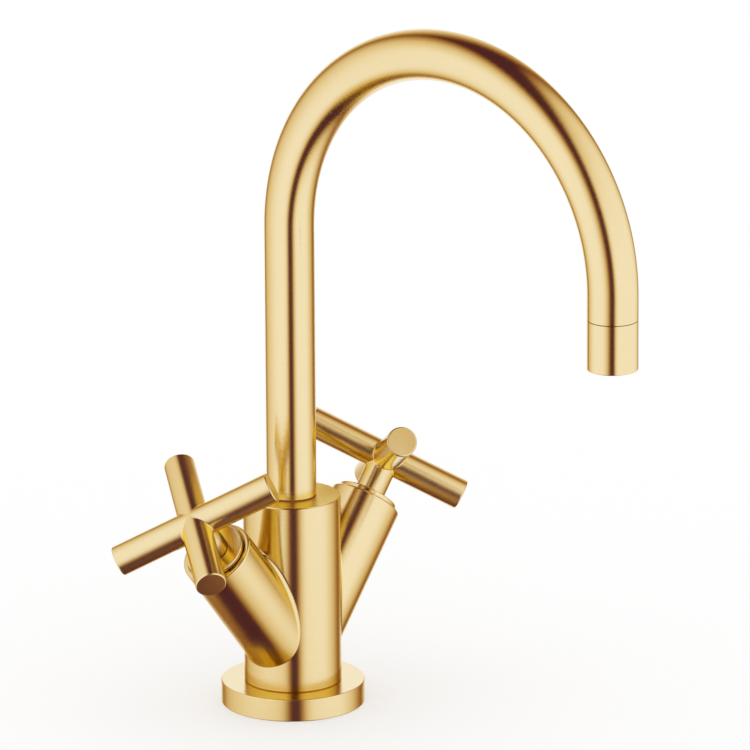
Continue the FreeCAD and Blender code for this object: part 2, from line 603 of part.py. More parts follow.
# The spigot is brazed into the tube's foot and turns in the bush. A slot in it stops the swing.
def spout_spigot():
    bore = f"{SPIGOT_RADIUS} - spigot_wall"
    foot = f"{SOCKET_FLOOR} + spigot_end_gap"
    groove = f"{SPIGOT_RADIUS} - ring_groove"
    half = "groove_share * ring_section"
    low = f"({SOCKET_FLOOR} + ring_inset)"
    high = "(column_top - ring_inset)"
    body = turned("spigot", [
        (bore, foot),
        (SPIGOT_RADIUS, foot),
        (SPIGOT_RADIUS, f"{low} - {half}"),
        (groove, f"{low} - {half}"),
        (groove, f"{low} + {half}"),
        (SPIGOT_RADIUS, f"{low} + {half}"),
        (SPIGOT_RADIUS, f"{high} - {half}"),
        (groove, f"{high} - {half}"),
        (groove, f"{high} + {half}"),
        (SPIGOT_RADIUS, f"{high} + {half}"),
        (SPIGOT_RADIUS, TUBE_FOOT),
        (TUBE_BORE, TUBE_FOOT),
        (TUBE_BORE, f"{TUBE_FOOT} + spigot_plug"),
        (bore, f"{TUBE_FOOT} + spigot_plug"),
    ])
    slot = sketch_in(body, "YZ_Plane", "stop_slot_section")
    half_slot = "(lock_tip_radius + free_gap)"
    outside = f"{SPIGOT_RADIUS} + lock_slot_depth"
    outline(slot, [
        (SLOT_FLOOR, f"{LOCK_HEIGHT} - {half_slot}"),
        (outside, f"{LOCK_HEIGHT} - {half_slot}"),
        (outside, f"{LOCK_HEIGHT} + {half_slot}"),
        (SLOT_FLOOR, f"{LOCK_HEIGHT} + {half_slot}"),
    ])
    stop_slot = body.newObject("PartDesign::Groove", "stop_slot")
    stop_slot.Profile = slot
    stop_slot.ReferenceAxis = (slot, ["V_Axis"])
    stop_slot.Midplane = True
    drive(stop_slot, Angle=f"2 * (swivel_limit * 1 deg + asin({half_slot} / {SLOT_FLOOR}))")
    keep("spout_spigot", body)

    rings = [o_ring(f"{name}_spout_ring", f"{groove} + ring_section", "ring_section", height)
             for name, height in (("lower", low), ("upper", high))]
    keep("spout_o_rings", group("spout_ring_pair", rings))


# The bush lines the socket, and a screw from the rear runs in the spigot's slot.
def spout_bearing():
    liner = ring("liner", BUSH_BORE, SOCKET_RADIUS, SOCKET_FLOOR, "column_top")
    hole = rod("liner_hole", "lock_tip_radius + running_clearance", SOCKET_RADIUS)
    keep("spout_bush", cut("drilled_liner", liner, [rearward(at(hole, z=LOCK_HEIGHT))]))

    glide = ring("glide", f"{SPIGOT_RADIUS} + free_gap", "tube_radius - tube_foot_edge", "column_top", TUBE_FOOT)
    keep("spout_glide_ring", glide)

    tip = f"({SLOT_FLOOR} + free_gap)"
    tip_length = f"({SOCKET_RADIUS} - {tip})"
    length = f"(column_radius - lock_recess - {tip})"
    point = rod("lock_point", "lock_tip_radius", tip_length)
    shank = at(rod("lock_shank", "lock_radius", f"{length} - {tip_length}"), z=tip_length)
    key = hexagon("lock_key", "lock_key / cos(30)", "key_depth", f"{length} - key_depth")
    screw = cut("lock", joined("lock_blank", [point, shank]), [key])
    keep("spout_lock_screw", rearward(at(screw, "0", tip, LOCK_HEIGHT)))


# The aerator screws into the tube's end: a sleeve, a flow straightener and its seal.
def aerator():
    bore = "(tube_radius - aerator_wall)"
    mouth = f"{bore} - aerator_lip"
    thread = f"{TUBE_BORE} - running_clearance"
    thread_end = f"{SEAM} + aerator_thread"
    shoulder = f"{SEAM} - aerator_seam"
    seat = f"({OUTLET} + lip_height)"
    sleeve = turned("aerator_turning", [
        (mouth, OUTLET),
        ("tube_radius - aerator_edge", OUTLET),
        ("tube_radius", f"{OUTLET} + aerator_edge"),
        ("tube_radius", shoulder),
        (thread, shoulder),
        (thread, thread_end),
        (bore, thread_end),
        (bore, seat),
        (mouth, seat),
    ])
    keep("aerator_sleeve", at(sleeve, y=f"-{SPOUT_REACH}"))

    insert_radius = f"({bore} - running_clearance)"
    step = f"(({insert_radius} - insert_rim) / 2)"
    hole = f"2 * {step} * sin(15) - insert_web / 2"
    drills = [rod("straightener_hole", hole, "insert_height")]
    for rank, count in ((1, 6), (2, 12)):
        for i in range(count):
            angle = FULL_TURN * i / count
            drill = rod(f"straightener_hole_{rank}_{i}", hole, "insert_height")
            drills.append(at(drill, f"{rank} * {step} * cos({angle})", f"{rank} * {step} * sin({angle})"))
    insert = cut("straightener", rod("straightener_blank", insert_radius, "insert_height"), drills)
    keep("aerator_insert", at(insert, y=f"-{SPOUT_REACH}", z=seat))

    low = f"({seat} + insert_height)"
    seal = ring("aerator_ring", f"{insert_radius} - aerator_seal_width", insert_radius, low,
                f"{low} + aerator_seal_height")
    keep("aerator_seal", at(seal, y=f"-{SPOUT_REACH}"))


def check():
    """Stops if an object failed to compute or a piece isn't a sound solid."""
    failed = [o.Name for o in doc.Objects if {"Invalid", "Error"} & set(o.State)]
    unsound = [n for n, o in pieces.items() if o.Shape.isNull() or not o.Shape.isValid() or not o.Shape.Solids]
    if failed or unsound:
        raise RuntimeError(f"failed: {failed}, unsound: {unsound}")


def export():
    os.makedirs("parts", exist_ok=True)
    for label, item in pieces.items():
        item.Shape.exportStep(f"parts/{label}.step")
        print(label, len(item.Shape.Solids), "solid,", round(item.Shape.Volume / 1000, 3), "cm3")


base()
mixer_body()
for side, sign in SIDES:
    valve_barrel(side, sign)
    valve_discs(side, sign)
    valve_spindle(side, sign)
    valve_headpart(side, sign)
    bonnet_cap(side, sign)
    cross_handle(side, sign)
spout_tube()
spout_spigot()
spout_bearing()
aerator()
doc.recompute()
check()
export()
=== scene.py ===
"""A bathroom basin mixer in satin gold: two cross handles on leaning valves and a swan-neck spout."""

import json
import math

import bmesh
import bpy
from mathutils import Matrix, Vector


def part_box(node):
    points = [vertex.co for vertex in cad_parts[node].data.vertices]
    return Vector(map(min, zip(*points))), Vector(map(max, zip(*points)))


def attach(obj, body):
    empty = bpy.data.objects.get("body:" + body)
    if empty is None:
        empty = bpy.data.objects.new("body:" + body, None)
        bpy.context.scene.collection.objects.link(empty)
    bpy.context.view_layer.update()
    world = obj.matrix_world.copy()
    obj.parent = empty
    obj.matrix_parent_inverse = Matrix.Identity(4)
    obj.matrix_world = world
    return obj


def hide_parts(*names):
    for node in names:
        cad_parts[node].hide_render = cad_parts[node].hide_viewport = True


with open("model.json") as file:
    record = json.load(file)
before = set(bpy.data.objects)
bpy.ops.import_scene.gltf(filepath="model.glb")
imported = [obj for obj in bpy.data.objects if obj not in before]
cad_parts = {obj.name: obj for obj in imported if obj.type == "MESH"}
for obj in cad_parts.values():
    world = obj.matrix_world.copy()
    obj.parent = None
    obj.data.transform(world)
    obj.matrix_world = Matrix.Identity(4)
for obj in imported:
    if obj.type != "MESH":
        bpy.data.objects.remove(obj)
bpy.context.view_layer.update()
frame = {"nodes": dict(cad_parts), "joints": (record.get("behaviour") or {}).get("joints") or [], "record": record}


# The gasket is a flat ring of black rubber, moulded and pressed into the groove under the flange.
# The seat seals, the O-rings and the aerator's seal are moulded of the same rubber. Fine powder from
# the mould leaves a faint grey bloom on it.
RUBBER_BLACK = (0.018, 0.018, 0.019, 1)
RUBBER_BLOOM = (0.05, 0.05, 0.052, 1)


class Wire:
    """An output of a material's nodes. Arithmetic on it adds Math nodes, and node() adds any other."""

    def __init__(self, tree, socket=None):
        self.tree = tree
        self.socket = socket

    def node(self, kind, settings=None, inputs=None, output=0):
        """Adds a node: its settings come first, then its sockets get their values or links."""
        added = self.tree.nodes.new(kind)
        for name, value in (settings or {}).items():
            if name == "stops":
                self.set_stops(added.color_ramp.elements, value)
            else:
                setattr(added, name, value)
        for name, value in (inputs or {}).items():
            if isinstance(value, Wire):
                self.tree.links.new(value.socket, added.inputs[name])
            else:
                added.inputs[name].default_value = value
        return Wire(self.tree, added.outputs[output] if added.outputs else None)

    def set_stops(self, elements, stops):
        """Gives a ramp its colours. The first stop is at 0 and the last at 1."""
        elements[0].color = stops[0][1]
        elements[1].color = stops[-1][1]
        for place, colour in stops[1:-1]:
            elements.new(place).color = colour

    def math(self, operation, first, second):
        return self.node("ShaderNodeMath", {"operation": operation}, {0: first, 1: second})

    def __add__(self, other):
        return self.math("ADD", self, other)

    def __radd__(self, other):
        return self.math("ADD", other, self)

    def __sub__(self, other):
        return self.math("SUBTRACT", self, other)

    def __rsub__(self, other):
        return self.math("SUBTRACT", other, self)

    def __mul__(self, other):
        return self.math("MULTIPLY", self, other)

    def __rmul__(self, other):
        return self.math("MULTIPLY", other, self)

    def place(self):
        """The point of the surface, in metres in the mixer's frame."""
        return self.node("ShaderNodeTexCoord", output="Object")

    def between(self, low, high):
        """A value that is low where this one is 0 and high where it is 1."""
        return self * (high - low) + low

    def tint(self, low, high):
        """A colour that is low where this value is 0 and high where it is 1."""
        return self.node("ShaderNodeMix", {"data_type": "RGBA"}, {0: self, 6: low, 7: high}, output=2)

    def noise(self, place, waves, detail=2.0):
        """A grain with so many waves to the metre at a place."""
        return self.node("ShaderNodeTexNoise", inputs={"Vector": place, "Scale": waves, "Detail": detail})

    def bump(self, strength, depth):
        """A normal for a surface raised by this value, times a depth in metres."""
        return self.node("ShaderNodeBump", inputs={"Strength": strength, "Distance": depth, "Height": self})


def surface(name, fixed, varying):
    """A material. fixed holds the shader's own values, and varying(wire) returns what changes over it."""
    material = bpy.data.materials.new(name)
    material.use_nodes = True
    tree = material.node_tree
    shader = tree.nodes["Principled BSDF"]
    for socket, value in fixed.items():
        shader.inputs[socket].default_value = value
    for socket, wire in varying(Wire(tree)).items():
        tree.links.new(wire.socket, shader.inputs[socket])
    return material


def dress(slot, material):
    """Gives a material to the CAD nodes that the record puts in this slot."""
    for subpart in frame["record"]["subparts"]:
        if subpart["material_slot"] == slot:
            for holder in frame["nodes"][subpart["node"]].material_slots:
                holder.material = material


def moulded_rubber(wire):
    place = wire.place()
    bloom = wire.noise(place, waves=160.0, detail=4.0)
    grain = wire.noise(place, waves=2200.0)
    return {
        "Base Color": bloom.tint(RUBBER_BLACK, RUBBER_BLOOM),
        "Roughness": bloom.between(0.55, 0.80),
        "Normal": grain.bump(strength=0.3, depth=0.0001),
    }


dress("rubber", surface("rubber", {"Specular IOR Level": 0.4}, moulded_rubber))


# The base flange is a thick brass disc, turned and then brushed on the lathe, so fine hairlines run
# round it. A gold coat in satin finish covers it. Where one piece mirrors another, a deeper gold is
# painted in: a painted reflection tint.
GOLD = (0.92, 0.785, 0.50, 1)
GOLD_DEEP = (0.89, 0.745, 0.45, 1)
GOLD_PAINTED_IN_MIRROR = (0.76, 0.54, 0.10, 1)
HAIRLINE = 0.00014
HAIRLINE_RUN = 0.012
HAIRLINE_DEPTH = 0.000022
SATIN = 0.12
SATIN_SPREAD = 0.04
FLANGE_ROUND = 0.0005
FLANGE_BORE = 0.017
GROOVE_INNER = 0.021
GROOVE_OUTER = 0.025
GROOVE_DEPTH = 0.002
LATHE_STEPS = 144
ROUND_STEPS = 4
SHARP_ANGLE = math.radians(40)
TOUCH = 1e-6


def satin_gold(wire, across, least_rough=SATIN, depth=HAIRLINE_DEPTH, painted_in_mirror=GOLD_PAINTED_IN_MIRROR):
    """Brushed gold. across is the distance square to its hairlines, in metres.

    The last argument is a painted reflection colour: the gold shows it instead of its own where another piece
    mirrors it.
    """
    place = wire.place()
    run = wire.node("ShaderNodeVectorMath", {"operation": "SCALE"}, {0: place, "Scale": 1 / HAIRLINE_RUN})
    step = wire.node("ShaderNodeCombineXYZ", inputs={"Z": across * (1 / HAIRLINE)})
    stretched = wire.node("ShaderNodeVectorMath", {"operation": "ADD"}, {0: run, 1: step})
    hairlines = wire.noise(stretched, waves=1.0)
    cloud = wire.noise(place, waves=45.0, detail=3.0)
    mirrored = wire.node("ShaderNodeLightPath", output="Is Glossy Ray")
    return {
        # Where another piece mirrors the gold, its colour is swapped for a painted reflection colour.
        "Base Color": mirrored.tint(hairlines.tint(GOLD_DEEP, GOLD), painted_in_mirror),
        "Roughness": hairlines * SATIN_SPREAD + cloud * SATIN_SPREAD + least_rough,
        "Normal": hairlines.bump(strength=1.0, depth=depth),
    }


def along_mesh(wire):
    """The distance that the piece's own mesh keeps for its hairlines."""
    return wire.node("ShaderNodeAttribute", {"attribute_name": "brush"}, output="Fac")


satin = surface("satin_gold", {"Metallic": 1.0}, lambda wire: satin_gold(wire, along_mesh(wire)))


def turned(outline):
    """A bmesh turned on a lathe: a closed outline of (radius, height) pairs spun about Z."""
    bm = bmesh.new()
    corners = [bm.verts.new((radius, 0, height)) for radius, height in outline]
    for i, corner in enumerate(corners):
        bm.edges.new((corners[i - 1], corner))
    bmesh.ops.spin(bm, geom=bm.verts[:] + bm.edges[:], angle=math.tau, steps=LATHE_STEPS, axis=(0, 0, 1),
                   cent=(0, 0, 0), use_merge=True)
    bmesh.ops.remove_doubles(bm, verts=bm.verts, dist=TOUCH)
    bmesh.ops.recalc_face_normals(bm, faces=bm.faces)
    return bm


def circles(bm, *rims):
    """The edges that run round Z at these (radius, height) rims."""
    def lies_on(edge, radius, height):
        return all(abs(vert.co.xy.length - radius) < TOUCH and abs(vert.co.z - height) < TOUCH
                   for vert in edge.verts)
    return [edge for edge in bm.edges if any(lies_on(edge, *rim) for rim in rims)]


def rounded(bm, edges, width):
    """Rounds edges off, or fills them where they lie in a corner."""
    bmesh.ops.bevel(bm, geom=edges, offset=width, segments=ROUND_STEPS, profile=0.5, affect="EDGES",
                    material=-1, clamp_overlap=True)


def brushed(bm, across):
    """Keeps for each point of a piece its distance square to the hairlines."""
    brush = bm.verts.layers.float.new("brush")
    for vert in bm.verts:
        vert[brush] = across(vert.co)


def round_axis(point):
    """Lathe hairlines: the distance along a turned piece's outline."""
    return point.z + point.xy.length


def finished(name, bm, material, body, node):
    """Makes a bmesh the piece that stands for a CAD node of its name and moves with its body."""
    mesh = bpy.data.meshes.new(name)
    bm.to_mesh(mesh)
    bm.free()
    mesh.shade_smooth()
    mesh.set_sharp_from_angle(angle=SHARP_ANGLE)
    mesh.materials.append(material)
    piece = bpy.data.objects.new(name, mesh)
    bpy.context.scene.collection.objects.link(piece)
    piece.modifiers.new("flat_faces", "WEIGHTED_NORMAL").keep_sharp = True
    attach(piece, body)
    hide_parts(node)
    return piece


flange_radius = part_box("base_flange")[1].x
flange_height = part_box("base_flange")[1].z
flange = turned([
    (FLANGE_BORE, 0),
    (GROOVE_INNER, 0),
    (GROOVE_INNER, GROOVE_DEPTH),
    (GROOVE_OUTER, GROOVE_DEPTH),
    (GROOVE_OUTER, 0),
    (flange_radius, 0),
    (flange_radius, flange_height),
    (FLANGE_BORE, flange_height),
])
rounded(flange, circles(flange, (flange_radius, 0), (flange_radius, flange_height)), FLANGE_ROUND)
brushed(flange, round_axis)
finished("flange", flange, satin, "mixer", "base_flange")


# The column is one brass bar, turned, drilled for the water and brushed round its axis like the flange.
# Its top is faced off duller than its wall, and its colour there is a painted lighter, yellower gold:
# painted light. The hoses and the fixing stud screw into it from below, and a steel screw from the
# rear locks the spout.
FACED = 0.30
GOLD_TOP_PAINTED_LIGHT = (0.99, 0.86, 0.30, 1)
STEEL = (0.50, 0.50, 0.51, 1)
STEEL_DARK = (0.34, 0.34, 0.35, 1)
column_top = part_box("mixer_body")[1].z


def brushed_column(wire):
    """Gold with hairlines round the column's axis, at their distance along its outline."""
    place = wire.place()
    flat = wire.node("ShaderNodeVectorMath", {"operation": "MULTIPLY"}, {0: place, 1: (1, 1, 0)})
    radius = wire.node("ShaderNodeVectorMath", {"operation": "LENGTH"}, {0: flat}, output="Value")
    height = wire.node("ShaderNodeSeparateXYZ", inputs={0: place}, output="Z")
    on_top = wire.math("GREATER_THAN", height, column_top - TOUCH)
    gold = satin_gold(wire, radius + height, on_top * (FACED - SATIN) + SATIN)
    # On the top face the colour is a painted lighter, yellower gold: painted light.
    gold["Base Color"] = on_top.tint(gold["Base Color"], GOLD_TOP_PAINTED_LIGHT)
    return gold


def machined_steel(wire):
    marks = wire.noise(wire.place(), waves=1500.0, detail=3.0)
    return {
        "Base Color": marks.tint(STEEL_DARK, STEEL),
        "Roughness": marks.between(0.2, 0.4),
        "Normal": marks.bump(strength=0.15, depth=0.00005),
    }


dress("satin_gold", surface("column_gold", {"Metallic": 1.0}, brushed_column))
dress("steel", surface("steel", {"Metallic": 1.0}, machined_steel))


# The bush and the glide ring are turned from brown acetal. The bush lines the socket in the column's
# top, and the ring carries the spout's foot. Only its rim shows, as a dark line under the tube.
ACETAL = (0.30, 0.085, 0.028, 1)
ACETAL_WORN = (0.38, 0.115, 0.04, 1)


def turned_acetal(wire):
    swirl = wire.noise(wire.place(), waves=700.0, detail=3.0)
    return {
        "Base Color": swirl.tint(ACETAL, ACETAL_WORN),
        "Roughness": swirl.between(0.4, 0.6),
        "Normal": swirl.bump(strength=0.2, depth=0.00004),
    }


dress("bearing_plastic", surface("bearing_plastic", {"Specular IOR Level": 0.45}, turned_acetal))


# The ceramic discs are sintered alumina, lapped flat and polished, with tiny pores. The headparts, the
# spindles and the spout's spigot are bare brass, left as they came off the lathe.
ALUMINA = (0.86, 0.84, 0.80, 1)
ALUMINA_PORE = (0.66, 0.63, 0.58, 1)
BRASS = (0.78, 0.61, 0.31, 1)
BRASS_DULL = (0.58, 0.42, 0.19, 1)


def lapped_alumina(wire):
    pores = wire.noise(wire.place(), waves=3000.0, detail=4.0)
    return {
        "Base Color": pores.tint(ALUMINA_PORE, ALUMINA),
        "Roughness": pores.between(0.15, 0.30),
    }


def turned_brass(wire):
    place = wire.place()
    tarnish = wire.noise(place, waves=180.0, detail=4.0)
    marks = wire.noise(place, waves=2600.0)
    return {
        "Base Color": tarnish.tint(BRASS_DULL, BRASS),
        "Roughness": tarnish.between(0.2, 0.35) + marks * 0.1,
        "Normal": marks.bump(strength=0.2, depth=0.00004),
    }


dress("valve_ceramic", surface("valve_ceramic", {}, lapped_alumina))
dress("turned_brass", surface("turned_brass", {"Metallic": 1.0}, turned_brass))


# Each valve barrel is a turned brass sleeve. Its lower end is coped to fit the column and brazed on, with
# a fillet of braze that is dressed smooth before the gold coat, full at the sides and thin below.
SIDES = {"hot": -1, "cold": 1}
BARREL_RADIUS = 0.0145
BARREL_BORE = 0.0115
BARREL_RIM = 0.0722
BARREL_ROUND = 0.0009
MOUTH_RADIUS = 0.0126
MOUTH_FLOOR = 0.0706
MOUTH_ROUND = 0.0002
BRAZE_ABOVE = 0.0016
BRAZE_BESIDE = 0.0019
BRAZE_BELOW = 0.00005
BRAZE_STEPS = 8
COLUMN_RADIUS = 0.0196
valves = {joint["child"]: joint for joint in frame["joints"]}


def lean(side):
    """How far a valve's axis leans from the vertical."""
    axis = valves[f"{side}_tap"]["axis"]
    return math.atan2(axis[0], axis[2])


def leaning(bm, side):
    """Stands a piece that is modelled along Z on its valve's axis, which starts at the column's axis."""
    joint = valves[f"{side}_tap"]
    axis = Vector(joint["axis"])
    pivot = Vector(joint["pos_m"])
    crossing = pivot - axis * (pivot.x / axis.x)
    tilt = Matrix.Rotation(lean(side), 4, "Y")
    bmesh.ops.transform(bm, matrix=Matrix.Translation(crossing) @ tilt, verts=bm.verts)


def coped(point, side, tilt, radius):
    """Slides a point along the valve's axis to the wall of a column of this radius."""
    wall = SIDES[side] * math.sqrt(radius ** 2 - point.y ** 2)
    return Vector((point.x, point.y, (wall - point.x * math.cos(tilt)) / math.sin(tilt)))


def brazed(point, side, tilt, share):
    """A point of the fillet that a ball leaves in the corner.

    share is 0 at the barrel's wall and 1 at the column's.
    """
    outward = Vector((point.x, point.y, 0)).normalized()
    above = -SIDES[side] * outward.x
    slope = (BRAZE_ABOVE - BRAZE_BELOW) / 2
    ball = BRAZE_BESIDE + above * slope + above ** 2 * (BRAZE_BELOW + slope - BRAZE_BESIDE)
    middle = coped(outward * (BARREL_RADIUS + ball), side, tilt, COLUMN_RADIUS + ball)
    upright = Matrix.Rotation(tilt, 3, "Y")
    from_column = upright @ middle
    from_column.z = 0
    return middle - ball * outward.slerp(from_column.normalized() @ upright, share)


for side in SIDES:
    tilt = lean(side)
    fillet = [(BARREL_RADIUS + BRAZE_BESIDE * i / BRAZE_STEPS, 0) for i in range(BRAZE_STEPS, -1, -1)]
    barrel = turned([
        (BARREL_BORE, 0),
        *fillet,
        (BARREL_RADIUS, BARREL_RIM),
        (MOUTH_RADIUS, BARREL_RIM),
        (MOUTH_RADIUS, MOUTH_FLOOR),
        (BARREL_BORE, MOUTH_FLOOR),
    ])
    rounded(barrel, circles(barrel, (BARREL_RADIUS, BARREL_RIM)), BARREL_ROUND)
    rounded(barrel, circles(barrel, (MOUTH_RADIUS, BARREL_RIM)), MOUTH_ROUND)
    for vert in barrel.verts:
        if abs(vert.co.z) < TOUCH:
            share = (vert.co.xy.length - BARREL_RADIUS) / BRAZE_BESIDE
            if share > -TOUCH:
                vert.co = brazed(vert.co, side, tilt, max(share, 0))
            else:
                vert.co = coped(vert.co, side, tilt, COLUMN_RADIUS)
    brushed(barrel, round_axis)
    bmesh.ops.recalc_face_normals(barrel, faces=barrel.faces)
    leaning(barrel, side)
    finished(f"{side}_valve_barrel", barrel, satin, "mixer", f"{side}_barrel")


# The bonnet cap is a turned brass lid that screws into the barrel's mouth and hides the headpart.
# A narrow shadow gap runs round its edge, and the spindle comes up through its middle.
CAP_HOLE = 0.0044
CAP_SKIRT_INNER = 0.0102
CAP_SKIRT_OUTER = 0.0114
CAP_SKIRT_END = 0.0660
CAP_RADIUS = 0.0122
CAP_UNDERSIDE = 0.0714
CAP_TOP = 0.0744
CAP_ROUND = 0.0005

for side in SIDES:
    cap = turned([
        (CAP_HOLE, CAP_UNDERSIDE),
        (CAP_SKIRT_INNER, CAP_UNDERSIDE),
        (CAP_SKIRT_INNER, CAP_SKIRT_END),
        (CAP_SKIRT_OUTER, CAP_SKIRT_END),
        (CAP_SKIRT_OUTER, MOUTH_FLOOR),
        (CAP_RADIUS, MOUTH_FLOOR),
        (CAP_RADIUS, CAP_TOP),
        (CAP_HOLE, CAP_TOP),
    ])
    rounded(cap, circles(cap, (CAP_RADIUS, CAP_TOP)), CAP_ROUND)
    brushed(cap, round_axis)
    leaning(cap, side)
    finished(f"{side}_cap", cap, satin, "mixer", f"{side}_bonnet_cap")


# Each cross handle is two brass rods halved together and brazed to a stem, with small fillets in the
# corners. It is brushed finer and duller than the other pieces, and where they mirror it, a lighter
# gold is painted in: a painted reflection. A square socket in the stem takes the spindle, and a
# threaded hole behind takes the grub screw.
HANDLE_SATIN = 0.18
HANDLE_PAINTED_IN_MIRROR = (0.98, 0.76, 0.14, 1)
HANDLE_DEPTH = 0.000012
ARM_RADIUS = 0.00618
ARM_LENGTH = 0.0345
ARM_ROUND = 0.0006
ARM_SIDES = 64
COLLAR = 0.001
CREASE_FILLET = 0.00035
CREASE_ANGLE = math.radians(30)
STEM_FOOT = 0.0747
CROSS_MIDDLE = 0.0916
STEM_ROUND = 0.0003
HANDLE_TURN = math.radians(45)
QUARTER_TURN = math.radians(90)
SOCKET_WIDTH = 0.0057
SOCKET_DEPTH = 0.0083
GRUB_RADIUS = 0.002
GRUB_HEIGHT = 0.0787
GRUB_SIDES = 48


def brushed_handle(wire):
    # Where other pieces mirror the handle, it shows a painted lighter reflection colour.
    return satin_gold(wire, along_mesh(wire), HANDLE_SATIN, HANDLE_DEPTH, HANDLE_PAINTED_IN_MIRROR)


def inner_end(point):
    """How far from the cross's middle an arm starts there, so that it meets its neighbours and the stem."""
    return max(abs(point.y), -point.z)


def points_of(edges):
    """The points of some edges, each of them once."""
    return list(dict.fromkeys(vert for edge in edges for vert in edge.verts))


def extruded(bm, edges, step):
    """Draws edges out by a step, and returns the edges at the new end."""
    drawn = bmesh.ops.extrude_edge_only(bm, edges=edges)["geom"]
    points = [item for item in drawn if isinstance(item, bmesh.types.BMVert)]
    bmesh.ops.translate(bm, vec=step, verts=points)
    return [item for item in drawn if isinstance(item, bmesh.types.BMEdge)
            and all(vert in points for vert in item.verts)]


def rod(bm, reach, start):
    """Adds a rod along X to the bmesh: a round wall from start(point) to its closed end at reach."""
    ring = bmesh.ops.create_circle(bm, segments=ARM_SIDES, radius=ARM_RADIUS)["verts"]
    bmesh.ops.rotate(bm, matrix=Matrix.Rotation(QUARTER_TURN, 3, "Y"), verts=ring)
    mitre = list(dict.fromkeys(edge for vert in ring for edge in vert.link_edges))
    collar = extruded(bm, mitre, (COLLAR, 0, 0))
    end = extruded(bm, collar, (reach - COLLAR, 0, 0))
    bmesh.ops.edgeloop_fill(bm, edges=end)
    near = points_of(mitre + collar)
    for vert in near:
        vert.co.x += start(vert.co)
    return near + points_of(end)


def cross():
    """Four arms and a stem that meet in mitred corners, about the cross's middle."""
    bm = bmesh.new()
    for quarter in range(4):
        arm = rod(bm, ARM_LENGTH, inner_end)
        bmesh.ops.rotate(bm, matrix=Matrix.Rotation(quarter * QUARTER_TURN, 3, "Z"), verts=arm)
    stem = rod(bm, CROSS_MIDDLE - STEM_FOOT, lambda point: max(abs(point.y), abs(point.z)))
    bmesh.ops.rotate(bm, matrix=Matrix.Rotation(QUARTER_TURN, 3, "Y"), verts=stem)
    bmesh.ops.remove_doubles(bm, verts=bm.verts, dist=TOUCH)
    bmesh.ops.recalc_face_normals(bm, faces=bm.faces)
    return bm


def along_arms(point):
    """Hairlines round each arm and the stem, and round the middle of their ends."""
    reach = max(abs(point.x), abs(point.y), -point.z)
    return reach + ARM_RADIUS - math.sqrt(max(point.length_squared - reach ** 2, 0))


def square_socket():
    """What is broached out of the stem for the spindle's square, about the cross's middle."""
    bm = bmesh.new()
    foot = STEM_FOOT - CROSS_MIDDLE
    bmesh.ops.create_cube(bm, size=1)
    bmesh.ops.scale(bm, vec=(SOCKET_WIDTH, SOCKET_WIDTH, 2 * SOCKET_DEPTH), verts=bm.verts)
    bmesh.ops.translate(bm, vec=(0, 0, foot), verts=bm.verts)
    bmesh.ops.rotate(bm, matrix=Matrix.Rotation(-HANDLE_TURN, 3, "Z"), verts=bm.verts)
    return bm


def grub_hole():
    """What is drilled out of the stem for the grub screw, from the rear to the socket."""
    bm = bmesh.new()
    bmesh.ops.create_cone(bm, cap_ends=True, segments=GRUB_SIDES, radius1=GRUB_RADIUS,
                          radius2=GRUB_RADIUS, depth=2 * ARM_RADIUS)
    bmesh.ops.rotate(bm, matrix=Matrix.Rotation(QUARTER_TURN, 3, "X"), verts=bm.verts)
    bmesh.ops.translate(bm, vec=(0, ARM_RADIUS, GRUB_HEIGHT - CROSS_MIDDLE), verts=bm.verts)
    bmesh.ops.rotate(bm, matrix=Matrix.Rotation(-HANDLE_TURN, 3, "Z"), verts=bm.verts)
    return bm


def bored(bm, *cutters):
    """Takes the cutters' shapes out of a piece, and returns what is left of it."""
    blocks = []
    for shape in (bm, *cutters):
        mesh = bpy.data.meshes.new("block")
        shape.to_mesh(mesh)
        shape.free()
        blocks.append(bpy.data.objects.new("block", mesh))
        bpy.context.scene.collection.objects.link(blocks[-1])
    for cutter in blocks[1:]:
        blocks[0].modifiers.new("bore", "BOOLEAN").object = cutter
    left = bmesh.new()
    left.from_object(blocks[0], bpy.context.evaluated_depsgraph_get())
    for block in blocks:
        bpy.data.objects.remove(block)
    return left


handle_gold = surface("handle_gold", {"Metallic": 1.0}, brushed_handle)
for side in SIDES:
    handle = cross()
    ends = [face for face in handle.faces if len(face.verts) == ARM_SIDES]
    foot = min(ends, key=lambda face: face.calc_center_median().z)
    foot_rim = list(foot.edges)
    arm_rims = [edge for face in ends if face != foot for edge in face.edges]
    creases = [edge for edge in handle.edges
               if not edge.is_convex and edge.calc_face_angle() > CREASE_ANGLE]
    rounded(handle, creases, CREASE_FILLET)
    rounded(handle, arm_rims, ARM_ROUND)
    rounded(handle, foot_rim, STEM_ROUND)
    handle = bored(handle, square_socket(), grub_hole())
    bmesh.ops.poke(handle, faces=[face for face in handle.faces if len(face.verts) == ARM_SIDES])
    brushed(handle, along_arms)
    turning = Matrix.Translation((0, 0, CROSS_MIDDLE)) @ Matrix.Rotation(HANDLE_TURN, 4, "Z")
    bmesh.ops.transform(handle, matrix=turning, verts=handle.verts)
    leaning(handle, side)
    piece = finished(f"{side}_cross_handle", handle, handle_gold, f"{side}_tap", f"{side}_handle")


# The spout is a drawn brass tube, bent on a former to a half circle and brushed round its section, so the
# hairlines follow the bend. It stands on the glide ring, with its spigot in the column.
TUBE_WALL = 0.0015
TUBE_SIDES = 72
BEND_STEPS = 96
TUBE_ROUND = 0.0002
SPOUT_DROP = 0.0095
tube_low, tube_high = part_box("spout_tube")
tube_radius = tube_high.x
arch_radius = (tube_high.y - tube_low.y) / 2 - tube_radius
arch_height = tube_high.z - arch_radius - tube_radius
arch_centre = Vector((0, -arch_radius, arch_height))


